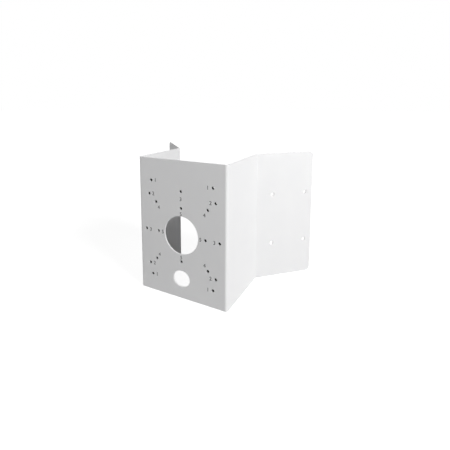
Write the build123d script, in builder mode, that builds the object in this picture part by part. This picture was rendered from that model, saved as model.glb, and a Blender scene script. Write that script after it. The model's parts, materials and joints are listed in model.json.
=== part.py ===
"""Corner mount bracket for a security camera: one steel sheet, cut, drilled and folded four times.

All sizes are in millimetres. The camera's plate faces -Y, two side walls stand it off the building's
corner, and the wings that are screwed to the corner's two faces reach back and outwards. The bracket
stands on its lower edges at Z = 0, and the origin is under the middle of its overall box.
"""
from build123d import *
from math import cos, radians, sin
import os

# Sheet
sheet = 2.5
inner_bend_radius = 2.0
edge_break = 0.5
small_edge_break = 0.3
wing_corner_radius = 7.5

# Folded form, on its outer faces, measured to the sharp corners that the bends round off
height = 235.0
plate_width = 170.0
wall_depth = 122.0
wing_length = 113.5
wing_angle = 45.0

# Large opening behind the camera's base, and the oval cable hole below it
large_opening_height = 109.8
large_opening_radius = 32.4
cable_hole_drop = 75.6
cable_hole_height = 27.6
cable_hole_stretch = 4.0

# Screw holes for camera bases: five patterns, with rise and drop measured from the large opening's centre, and
# the side holes of the third pattern set in from the plate's edges
camera_hole_radius = 2.55
tall_pattern_width = 119.0
tall_pattern_rise = 86.8
tall_pattern_drop = 80.6
wide_pattern_width = 128.6
wide_pattern_rise = 63.0
wide_pattern_drop = 60.8
three_pattern_inset = 13.8
three_pattern_rise = 73.8
square_pattern_side = 100.5
round_pattern_radius = 45.8

# Screw holes of each wing: two by the fold and two by the free end, with rise and drop as above
wing_hole_radius = 3.25
hole_to_fold = 31.0
hole_to_end = 15.1
wing_hole_rise = 48.6
wing_hole_drop = 44.7

# Worked out from the sizes above
outer_bend_radius = inner_bend_radius + sheet
edge_chamfer = min(edge_break, sheet / 3)
small_edge_chamfer = min(small_edge_break, sheet / 3)
wing_cos = cos(radians(wing_angle))
wing_sin = sin(radians(wing_angle))
overall_depth = wall_depth + wing_length * wing_sin + (sheet - edge_chamfer) * wing_cos
plate_y = -overall_depth / 2
fold_x = plate_width / 2
fold_y = plate_y + wall_depth
three_pattern_reach = plate_width / 2 - three_pattern_inset
far_holes = wing_length - hole_to_end
end_x = fold_x + wing_length * wing_cos
end_y = fold_y + wing_length * wing_sin


def facing_plane(origin_x, origin_y, outward_x, outward_y):
    """Upright plane, level with the large opening, that faces outwards with its own Y axis up."""
    return Plane(
        origin=(origin_x, origin_y, large_opening_height),
        x_dir=(-outward_y, outward_x, 0),
        z_dir=(outward_x, outward_y, 0),
    )


def is_cut_edge(edge):
    """True for an edge that the cutter left, false for a fold's border or a seam through the sheet."""
    if edge.geom_type != GeomType.LINE:
        return True
    through_sheet = abs(edge.length - sheet) < 0.001
    fold_border = abs(edge.length - height) < 0.001
    return not (through_sheet or fold_border)


plate_face = facing_plane(0, plate_y, 0, -1)

with BuildPart() as bracket:
    # Folded sheet, from the line of its outer faces in plan, with the wings' folds turned the other way
    with BuildLine(Plane.XY):
        FilletPolyline(
            (-end_x, end_y),
            (-fold_x, fold_y),
            (-fold_x, plate_y),
            (fold_x, plate_y),
            (fold_x, fold_y),
            (end_x, end_y),
            radius=[inner_bend_radius, outer_bend_radius, outer_bend_radius, inner_bend_radius],
        )
    make_brake_formed(sheet, height, side=Side.LEFT)

    # Rounded free corners of the wings
    corner_edges = bracket.edges().filter_by(lambda edge: abs(edge.length - sheet) < 0.001)
    fillet(corner_edges, wing_corner_radius)

    # Large opening and cable hole of the plate
    with BuildSketch(plate_face):
        Circle(large_opening_radius)
        with Locations((0, -cable_hole_drop)):
            SlotCenterToCenter(cable_hole_stretch, cable_hole_height)
    extrude(amount=-sheet, mode=Mode.SUBTRACT)

    # Four screw holes in each wing, drilled square to it
    for side in (-1, 1):
        with BuildSketch(facing_plane(side * fold_x, fold_y, side * wing_sin, -wing_cos)):
            with Locations((side * (hole_to_fold + far_holes) / 2, (wing_hole_rise - wing_hole_drop) / 2)):
                with GridLocations(far_holes - hole_to_fold, wing_hole_rise + wing_hole_drop, 2, 2):
                    Circle(wing_hole_radius)
        extrude(amount=-sheet, mode=Mode.SUBTRACT)

    # Cut edges broken on both sides of the sheet
    chamfer(bracket.edges().filter_by(is_cut_edge), edge_chamfer)

    # Small screw holes of the plate, with their own finer edge break
    with BuildSketch(plate_face):
        with Locations((0, (tall_pattern_rise - tall_pattern_drop) / 2)):
            with GridLocations(tall_pattern_width, tall_pattern_rise + tall_pattern_drop, 2, 2):
                Circle(camera_hole_radius)
        with Locations((0, (wide_pattern_rise - wide_pattern_drop) / 2)):
            with GridLocations(wide_pattern_width, wide_pattern_rise + wide_pattern_drop, 2, 2):
                Circle(camera_hole_radius)
        with Locations((-three_pattern_reach, 0), (three_pattern_reach, 0), (0, three_pattern_rise)):
            Circle(camera_hole_radius)
        with GridLocations(square_pattern_side, square_pattern_side, 2, 2):
            Circle(camera_hole_radius)
        with PolarLocations(round_pattern_radius, 4):
            Circle(camera_hole_radius)
    extrude(amount=-sheet, mode=Mode.SUBTRACT)
    chamfer(bracket.edges(Select.LAST).filter_by(GeomType.CIRCLE), small_edge_chamfer)

bracket.part.label = "corner_bracket"

os.makedirs("parts", exist_ok=True)
export_step(bracket.part, "parts/corner_bracket.step")
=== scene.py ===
"""Looks of the corner mount bracket: powder coat, printed digits, small nuts, and a soft studio.

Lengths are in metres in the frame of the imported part, unless a name ends in mm. The camera's plate faces -Y,
the side walls stand at +X and -X, and the bracket stands on the floor at Z = 0.
"""
import json
from math import cos, pi, radians, sin
import bmesh
import bpy
import numpy as np
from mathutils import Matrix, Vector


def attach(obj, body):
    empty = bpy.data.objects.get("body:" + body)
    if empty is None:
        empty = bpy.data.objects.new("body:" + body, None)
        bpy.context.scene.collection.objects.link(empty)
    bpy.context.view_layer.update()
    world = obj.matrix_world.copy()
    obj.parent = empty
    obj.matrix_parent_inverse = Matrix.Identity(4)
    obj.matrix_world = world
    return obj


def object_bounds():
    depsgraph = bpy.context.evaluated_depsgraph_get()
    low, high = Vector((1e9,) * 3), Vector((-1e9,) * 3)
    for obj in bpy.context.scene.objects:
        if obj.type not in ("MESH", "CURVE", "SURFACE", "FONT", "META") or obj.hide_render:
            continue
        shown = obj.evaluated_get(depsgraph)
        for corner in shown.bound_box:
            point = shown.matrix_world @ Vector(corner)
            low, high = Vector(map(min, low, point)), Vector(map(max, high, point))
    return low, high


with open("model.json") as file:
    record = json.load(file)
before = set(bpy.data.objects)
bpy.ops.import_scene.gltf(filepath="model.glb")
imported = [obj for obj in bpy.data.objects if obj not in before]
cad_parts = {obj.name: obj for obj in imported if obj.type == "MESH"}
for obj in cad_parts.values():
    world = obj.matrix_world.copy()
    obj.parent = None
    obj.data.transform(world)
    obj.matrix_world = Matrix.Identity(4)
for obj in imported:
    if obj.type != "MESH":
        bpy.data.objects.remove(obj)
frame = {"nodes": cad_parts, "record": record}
cad_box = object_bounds()

# The bracket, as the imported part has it
bracket = frame["nodes"]["corner_bracket"]
plate_y = cad_box[0].y
mounts = {mount["name"]: mount for mount in frame["record"]["mounts"]}
level = mounts["large_opening"]["pos_m"][2]
sheet = 2 * (mounts["large_opening"]["pos_m"][1] - plate_y)

# Nuts welded behind the small holes before coating, for M4 screws of coarse pitch. A plug kept the coat off each
# thread and off a narrow ring of the faces round it. That bare steel is coloured dark grey as painted shade, so that
# the holes look deep.
nut_across_flats = 8.0 / 1000
nut_height = 3.6 / 1000
nut_corner_bevel = 0.5 / 1000
thread_radius = 2.0 / 1000
thread_pitch = 0.7 / 1000
thread_depth = 0.38 / 1000
thread_play = 0.01 / 1000
thread_flat_share = 0.125
thread_lead_in = 0.6 * thread_pitch
bare_radius = 3.0 / 1000
core_overlap = 0.05 / 1000
core_setback = 0.02 / 1000
steps_round = 48
steps_per_pitch = 8

# Printed digits: their height, how much their strokes grow on each side and within what distance their points
# are welded, both as shares of the font's size, the steps in each piece of a curve, the ink's thickness, and how
# far their middles lie from their holes' centres
digit_height = 6.2 / 1000
stroke_growth = 0.007
weld_distance = 0.0002
digit_curve_steps = 6
ink_thickness = 0.03 / 1000
digit_beside = 9.0 / 1000
digit_rise_left = 1.0 / 1000
digit_below_three = 12.4 / 1000
digit_below_five = 9.5 / 1000
digit_above_five = 7.6 / 1000
digit_inwards_four = 5.9 / 1000
digit_towards_level_four = 8.6 / 1000

# Camera, fitted to the photograph: its place, turn and tilt, its focal length as a share of the frame's
# width, and the frame's shift
camera_place = (0.303, -0.5522, 0.3286)
camera_turn = radians(28.434)
camera_tilt = radians(7.245)
sensor_mm = 36.0
focal_share = 342.8 / 450
shift_right = 0.0276
shift_down = 0.1778

# Studio: a key lamp from the right, high enough to clear the right wall, weak broad lamps from the front and
# from behind, and a dim even sky. Each lamp has its azimuth, turned from -Y towards +X, its elevation, its
# size in metres and its watts.
lamp_distance = 2.6
lamps = {
    "key": (radians(76), radians(30), 1.1, 60.0),
    "fill": (radians(-8), radians(12), 1.6, 18.5),
    "back": (radians(205), radians(14), 1.6, 9.0),
}
ambient = 0.065

# Floor: half its side, and its lift to white, which grows between two distances from the bracket
floor_half_side = 12.0
near_lift, far_lift = 0.9, 1.0
near_distance, far_distance = 0.4, 2.5


def to_linear(hex_colour):
    """Linear RGBA of an sRGB hex colour.

    Each channel is c / 12.92 near black, and ((c + 0.055) / 1.055) ** 2.4 above.
    """
    srgb = np.array([int(hex_colour[i:i + 2], 16) for i in (1, 3, 5)]) / 255
    linear = np.where(srgb <= 0.04045, srgb / 12.92, ((srgb + 0.055) / 1.055) ** 2.4)
    return (*linear.tolist(), 1.0)


def add_node(tree, kind, settings=None, values=None, links=None):
    """Adds a node, sets its properties and its sockets' values, and links other nodes' outputs to its inputs."""
    node = tree.nodes.new(kind)
    for name, value in (settings or {}).items():
        setattr(node, name, value)
    for socket, value in (values or {}).items():
        node.inputs[socket].default_value = value
    for socket, (source, output) in (links or {}).items():
        tree.links.new(source.outputs[output], node.inputs[socket])
    return node


def new_material(name):
    """An empty node material and its output node."""
    material = bpy.data.materials.new(name)
    material.use_nodes = True
    material.node_tree.nodes.clear()
    output = add_node(material.node_tree, "ShaderNodeOutputMaterial")
    return material, material.node_tree, output


def per_metre(millimetres):
    """Noise scale at which one wave is about that many millimetres long, on coordinates in metres."""
    return 1000 / millimetres


def powder_coat():
    """Light grey-white polyester powder, sprayed and baked on steel.

    It gives the eye a smooth satin skin: a long faint orange peel where the powder flowed, a fine grain on
    top of it, and a gloss that drifts a little from place to place.
    """
    material, tree, output = new_material("powder_coat_light_grey")
    place = add_node(tree, "ShaderNodeTexCoord")
    peel = add_node(tree, "ShaderNodeTexNoise", None,
                    {"Scale": per_metre(2.6), "Detail": 1.5, "Roughness": 0.4}, {"Vector": (place, "Object")})
    grain = add_node(tree, "ShaderNodeTexNoise", None,
                     {"Scale": per_metre(0.7), "Detail": 2.0, "Roughness": 0.5}, {"Vector": (place, "Object")})
    drift = add_node(tree, "ShaderNodeTexNoise", None,
                     {"Scale": per_metre(38.0), "Detail": 2.0, "Roughness": 0.5}, {"Vector": (place, "Object")})
    gloss = add_node(tree, "ShaderNodeMapRange", None,
                     {"From Min": 0.3, "From Max": 0.7, "To Min": 0.46, "To Max": 0.54}, {"Value": (drift, "Fac")})
    colour = add_node(tree, "ShaderNodeMix", {"data_type": "RGBA"},
                      {"A": to_linear("#EDEDEE"), "B": to_linear("#F2F2F2")}, {"Factor": (drift, "Fac")})
    waves = add_node(tree, "ShaderNodeBump", None, {"Strength": 1.0, "Distance": 0.012 / 1000},
                     {"Height": (peel, "Fac")})
    skin = add_node(tree, "ShaderNodeBump", None, {"Strength": 1.0, "Distance": 0.003 / 1000},
                    {"Height": (grain, "Fac"), "Normal": (waves, "Normal")})
    shader = add_node(tree, "ShaderNodeBsdfPrincipled", None, {"IOR": 1.5, "Specular IOR Level": 0.35},
                      {"Base Color": (colour, "Result"), "Roughness": (gloss, "Result"), "Normal": (skin, "Normal")})
    tree.links.new(shader.outputs["BSDF"], output.inputs["Surface"])
    return material


def pad_ink():
    """Dark grey two-part ink, printed with a pad on the powder coat.

    It gives the eye thin matt strokes with a slightly uneven tone, where the pad laid less ink.
    """
    material, tree, output = new_material("pad_ink_dark_grey")
    place = add_node(tree, "ShaderNodeTexCoord")
    cover = add_node(tree, "ShaderNodeTexNoise", None,
                     {"Scale": per_metre(0.9), "Detail": 2.0, "Roughness": 0.6}, {"Vector": (place, "Object")})
    colour = add_node(tree, "ShaderNodeMix", {"data_type": "RGBA"},
                      {"A": to_linear("#121213"), "B": to_linear("#272729")}, {"Factor": (cover, "Fac")})
    shader = add_node(tree, "ShaderNodeBsdfPrincipled", None, {"IOR": 1.5, "Roughness": 0.6},
                      {"Base Color": (colour, "Result")})
    tree.links.new(shader.outputs["BSDF"], output.inputs["Surface"])
    return material


def cut_thread():
    """Bare steel of the nuts' threads, its dark grey painted shade.

    It gives the eye dark grey flanks with an uneven sheen. The base colour is kept far darker than bare steel's, as
    painted shade that makes the holes look deep.
    """
    material, tree, output = new_material("cut_steel_thread_dark")
    place = add_node(tree, "ShaderNodeTexCoord")
    film = add_node(tree, "ShaderNodeTexNoise", None,
                    {"Scale": per_metre(0.5), "Detail": 3.0, "Roughness": 0.6}, {"Vector": (place, "Object")})
    finish = add_node(tree, "ShaderNodeMapRange", None, {"To Min": 0.4, "To Max": 0.65}, {"Value": (film, "Fac")})
    # Base colours far darker than bare steel: painted shade, so that the holes look deep
    colour = add_node(tree, "ShaderNodeMix", {"data_type": "RGBA"},
                      {"A": to_linear("#262524"), "B": to_linear("#403E3C")}, {"Factor": (film, "Fac")})
    shader = add_node(tree, "ShaderNodeBsdfPrincipled", None, {"Metallic": 1.0},
                      {"Base Color": (colour, "Result"), "Roughness": (finish, "Result")})
    tree.links.new(shader.outputs["BSDF"], output.inputs["Surface"])
    return material


def seen_directly(tree):
    """Node whose Value is 1 for rays of the camera, of gloss and of transmission, and 0 for light on the object."""
    rays = add_node(tree, "ShaderNodeLightPath")
    camera_or_gloss = add_node(tree, "ShaderNodeMath", {"operation": "MAXIMUM"}, None,
                               {0: (rays, "Is Camera Ray"), 1: (rays, "Is Glossy Ray")})
    return add_node(tree, "ShaderNodeMath", {"operation": "MAXIMUM"}, None,
                    {0: (camera_or_gloss, "Value"), 1: (rays, "Is Transmission Ray")})


def pale_floor():
    """Matt pale paper. The camera and reflections see it lifted to white, with the bracket's shadow on it.

    The lift grows with the distance from the bracket, so the floor meets the white sky without a line.
    """
    material, tree, output = new_material("pale_floor")
    seen = seen_directly(tree)
    place = add_node(tree, "ShaderNodeTexCoord")
    distance = add_node(tree, "ShaderNodeVectorMath", {"operation": "LENGTH"}, None, {0: (place, "Object")})
    strength = add_node(tree, "ShaderNodeMapRange", None,
                        {"From Min": near_distance, "From Max": far_distance,
                         "To Min": near_lift, "To Max": far_lift},
                        {"Value": (distance, "Value")})
    paper = add_node(tree, "ShaderNodeBsdfDiffuse", None, {"Color": to_linear("#A6A6A6")})
    lift = add_node(tree, "ShaderNodeEmission", None, {"Color": (1.0, 1.0, 1.0, 1.0)},
                    {"Strength": (strength, "Result")})
    bright = add_node(tree, "ShaderNodeAddShader", None, None, {0: (paper, "BSDF"), 1: (lift, "Emission")})
    both = add_node(tree, "ShaderNodeMixShader", None, None,
                    {"Fac": (seen, "Value"), 1: (paper, "BSDF"), 2: (bright, "Shader")})
    tree.links.new(both.outputs["Shader"], output.inputs["Surface"])
    return material


def white_world(strength):
    """Even sky of that strength, which the camera and reflections see as plain white."""
    world = bpy.data.worlds.new("studio")
    bpy.context.scene.world = world
    world.use_nodes = True
    tree = world.node_tree
    tree.nodes.clear()
    output = add_node(tree, "ShaderNodeOutputWorld")
    seen = seen_directly(tree)
    dim = add_node(tree, "ShaderNodeBackground", None, {"Color": (1.0, 1.0, 1.0, 1.0), "Strength": strength})
    white = add_node(tree, "ShaderNodeBackground", None, {"Color": (1.0, 1.0, 1.0, 1.0), "Strength": 1.0})
    both = add_node(tree, "ShaderNodeMixShader", None, None,
                    {"Fac": (seen, "Value"), 1: (dim, "Background"), 2: (white, "Background")})
    tree.links.new(both.outputs["Shader"], output.inputs["Surface"])


def new_piece(name, points, faces, material, slot):
    """A mesh piece on the bracket's body, from an array of points and an array of faces."""
    mesh = bpy.data.meshes.new(name)
    mesh.from_pydata(points, [], faces)
    mesh.materials.append(material)
    piece = bpy.data.objects.new(name, mesh)
    bpy.context.scene.collection.objects.link(piece)
    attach(piece, "root")
    return piece


def hole_centres():
    """X and Z of every camera screw hole, by pattern, from the mounts."""
    centres = {}
    for number in (1, 2, 4):
        mount = mounts[f"pattern_{number}"]
        x, _, z = mount["pos_m"]
        half_x, half_z = mount["dims"]["spacing_x_mm"] / 2000, mount["dims"]["spacing_y_mm"] / 2000
        centres[number] = [(x + i * half_x, z + j * half_z) for i in (-1, 1) for j in (-1, 1)]
    half_x = mounts["pattern_3_sides"]["dims"]["spacing_x_mm"] / 2000
    centres[3] = [(-half_x, level), (half_x, level), (0.0, mounts["pattern_3_top"]["pos_m"][2])]
    radius = mounts["pattern_5"]["dims"]["pcd_mm"] / 2000
    centres[5] = [(-radius, level), (radius, level), (0.0, level - radius), (0.0, level + radius)]
    return centres


def ring_faces(count):
    """Faces that join that many closed rings of points, and the last ring to the first."""
    row, column = np.meshgrid(np.arange(count), np.arange(steps_round), indexing="ij")
    next_row, next_column = (row + 1) % count, (column + 1) % steps_round
    corners = [row * steps_round + column, row * steps_round + next_column,
               next_row * steps_round + next_column, next_row * steps_round + column]
    return np.stack(corners, axis=-1).reshape(-1, 4)


def nut_body():
    """Points and faces of one hexagonal nut's coated body, standing from the plate's back to Y = sheet + height.

    The outer wall's radius is half the width across flats / cos(a), where a is the angle from the nearest flat's
    middle. A cone at each end cuts the six corners, and a plain bore leaves room for the bare core.
    """
    angle = np.linspace(0, 2 * pi, steps_round, endpoint=False)
    from_flat = (angle + pi / 6) % (pi / 3) - pi / 6
    hexagon = nut_across_flats / 2 / np.cos(from_flat)
    bevelled = np.minimum(hexagon, hexagon.max() - nut_corner_bevel)
    bore = bare_radius + 0 * angle
    end = sheet + nut_height
    radii = np.stack([bore, bore, bevelled, hexagon, hexagon, bevelled])
    depths = np.array([sheet, end, end, end - nut_corner_bevel, sheet + nut_corner_bevel, sheet])[:, None] + 0 * angle
    points = np.stack([radii * np.cos(angle), depths, radii * np.sin(angle)], axis=-1)
    return points.reshape(-1, 3), ring_faces(len(points))


def nut_core():
    """Points and faces of one nut's bare core with its thread, round the Y axis.

    The inner wall's radius is the screw's radius less the thread's depth times a triangle wave of
    (Y / pitch - angle / turn), so the ridge climbs one pitch in each turn. The wave is flat over a small share
    at its crest and its root, and fades out over the lead-in at both ends. The outer wall is a plain cylinder
    that overlaps the coated body, and two flat bare rings join the walls just below the body's end faces.
    """
    angle = np.linspace(0, 2 * pi, steps_round, endpoint=False)
    along = np.linspace(core_setback, nut_height - core_setback, round(nut_height / thread_pitch * steps_per_pitch))
    angles, depths = np.meshgrid(angle, along)
    phase = (depths / thread_pitch - angles / (2 * pi)) % 1
    wave = 1 - np.abs(2 * phase - 1)
    ridge = np.clip((1 + 2 * thread_flat_share) * wave - thread_flat_share, 0, 1)
    fade = np.clip(np.minimum(depths, nut_height - depths) / thread_lead_in, 0, 1)
    inner = thread_radius - thread_play - thread_depth * ridge * fade
    outer = np.full((2, steps_round), bare_radius + core_overlap)
    radii = np.concatenate([inner, outer])
    depths = sheet + np.concatenate([depths, depths[-1:], depths[:1]])
    points = np.stack([radii * np.cos(angle), depths, radii * np.sin(angle)], axis=-1)
    return points.reshape(-1, 3), ring_faces(len(points))


def at_every_hole(points, faces):
    """Copies of a small form's points and faces at every camera screw hole, as one mesh."""
    centres = np.array([(x, plate_y, z) for centres in hole_centres().values() for x, z in centres])
    all_points = centres[:, None, :] + points
    all_faces = np.arange(len(centres))[:, None, None] * len(points) + faces
    return all_points.reshape(-1, 3), all_faces.reshape(-1, 4)


def add_nuts(body_material, thread_material):
    """The nuts behind the small holes: coated bodies in one piece, bare threaded cores in another."""
    new_piece("weld_nuts", *at_every_hole(*nut_body()), body_material, "powder_coat")
    new_piece("nut_threads", *at_every_hole(*nut_core()), thread_material, "nut_thread")


def digit_places():
    """X and Z of each digit's middle: towards the plate's middle line from its hole, above it or below it."""
    holes = hole_centres()
    places = {number: [(x - np.sign(x) * digit_beside, z + (digit_rise_left if x < 0 else 0))
                       for x, z in holes[number]] for number in (1, 2)}
    places[3] = [(x - np.sign(x) * digit_beside, z - (digit_below_three if x == 0 else 0)) for x, z in holes[3]]
    places[4] = [(x - np.sign(x) * digit_inwards_four, z - np.sign(z - level) * digit_towards_level_four)
                 for x, z in holes[4]]
    rises = {-1: digit_above_five, 0: 0.0, 1: -digit_below_five}
    places[5] = [(x - np.sign(x) * digit_beside, z + rises[int(np.sign(round(z - level, 6)))]) for x, z in holes[5]]
    return places


def close_and_thicken(mesh):
    """Makes a text's mesh closed and thickens its strokes.

    The sides are welded to the flat caps, whose triangles are then turned so that none is flat. All points lie on
    the border, so each one moves outwards along its normal, by (x, y) + growth * n / |n| with n the normal's part
    in the plane.
    """
    shape = bmesh.new()
    shape.from_mesh(mesh)
    bmesh.ops.remove_doubles(shape, verts=shape.verts, dist=weld_distance)
    caps = [face for face in shape.faces if len({round(corner.co.z, 3) for corner in face.verts}) == 1]
    inner_edges = [edge for edge in shape.edges if all(face in caps for face in edge.link_faces)]
    bmesh.ops.beautify_fill(shape, faces=caps, edges=inner_edges, method="ANGLE")
    shape.normal_update()
    for corner in shape.verts:
        corner.co.xy += stroke_growth * corner.normal.xy.normalized()
    shape.to_mesh(mesh)
    shape.free()


def digit_mesh(digit):
    """Points and faces of one printed digit in the XY plane, its middle at the origin, made a mesh from text."""
    text = bpy.data.curves.new("digit", "FONT")
    text.body = str(digit)
    text.resolution_u = digit_curve_steps
    text.extrude = 0.5
    holder = bpy.data.objects.new("digit", text)
    bpy.context.scene.collection.objects.link(holder)
    bpy.context.view_layer.update()
    mesh = bpy.data.meshes.new_from_object(holder.evaluated_get(bpy.context.evaluated_depsgraph_get()))
    close_and_thicken(mesh)
    points = np.empty(len(mesh.vertices) * 3)
    mesh.vertices.foreach_get("co", points)
    points = points.reshape(-1, 3)
    faces = [tuple(polygon.vertices) for polygon in mesh.polygons]
    bpy.data.objects.remove(holder)
    bpy.data.curves.remove(text)
    bpy.data.meshes.remove(mesh)
    middle = (points.min(0) + points.max(0)) / 2
    scale = digit_height / np.ptp(points[:, 1])
    flat = (points - middle) * np.array([scale, scale, 1.0])
    return flat, faces


def add_digits(material):
    """The digits beside the camera screw holes, one piece, lying on the plate's face."""
    all_points, all_faces = [], []
    places = digit_places()
    for digit, centres in places.items():
        flat, faces = digit_mesh(digit)
        for x, z in centres:
            start = sum(map(len, all_points))
            depth = plate_y - ink_thickness * (flat[:, 2] + 0.5)
            all_points.append(np.stack([x + flat[:, 0], depth, z + flat[:, 1]], axis=-1))
            all_faces += [tuple(start + corner for corner in face) for face in faces]
    new_piece("printed_digits", np.concatenate(all_points), all_faces, material, "printed_digits")


def add_lamp(name, azimuth, elevation, size, watts):
    """Square soft lamp that shines on the bracket's middle, from an azimuth turned from -Y towards +X."""
    light = bpy.data.lights.new(name, "AREA")
    light.shape = "SQUARE"
    light.size = size
    light.energy = watts
    lamp = bpy.data.objects.new(name, light)
    bpy.context.scene.collection.objects.link(lamp)
    lamp.location = (
        lamp_distance * cos(elevation) * sin(azimuth),
        -lamp_distance * cos(elevation) * cos(azimuth),
        cad_box[1].z / 2 + lamp_distance * sin(elevation),
    )
    lamp.rotation_euler = (pi / 2 - elevation, 0, azimuth)


def add_floor(material):
    """Large square of floor at the bracket's foot."""
    side = floor_half_side
    mesh = bpy.data.meshes.new("floor")
    mesh.from_pydata([(-side, -side, 0), (side, -side, 0), (side, side, 0), (-side, side, 0)], [], [(0, 1, 2, 3)])
    mesh.materials.append(material)
    floor = bpy.data.objects.new("floor", mesh)
    bpy.context.scene.collection.objects.link(floor)


def add_camera():
    """Camera at the photograph's viewing angle."""
    camera = bpy.data.objects.new("camera", bpy.data.cameras.new("camera"))
    bpy.context.scene.collection.objects.link(camera)
    camera.data.sensor_width = sensor_mm
    camera.data.lens = sensor_mm * focal_share
    camera.data.shift_x = shift_right
    camera.data.shift_y = -shift_down
    camera.location = camera_place
    camera.rotation_euler = (pi / 2 - camera_tilt, 0, camera_turn)
    bpy.context.scene.camera = camera


bpy.context.scene.view_settings.view_transform = "Standard"
add_camera()
coat = powder_coat()
bracket.data.materials.clear()
bracket.data.materials.append(coat)
# The nuts' bare threads and rings get dark grey steel, painted shade that makes the holes look deep
add_nuts(coat, cut_thread())
add_digits(pad_ink())
add_floor(pale_floor())
white_world(ambient)
for name, values in lamps.items():
    add_lamp(name, *values)
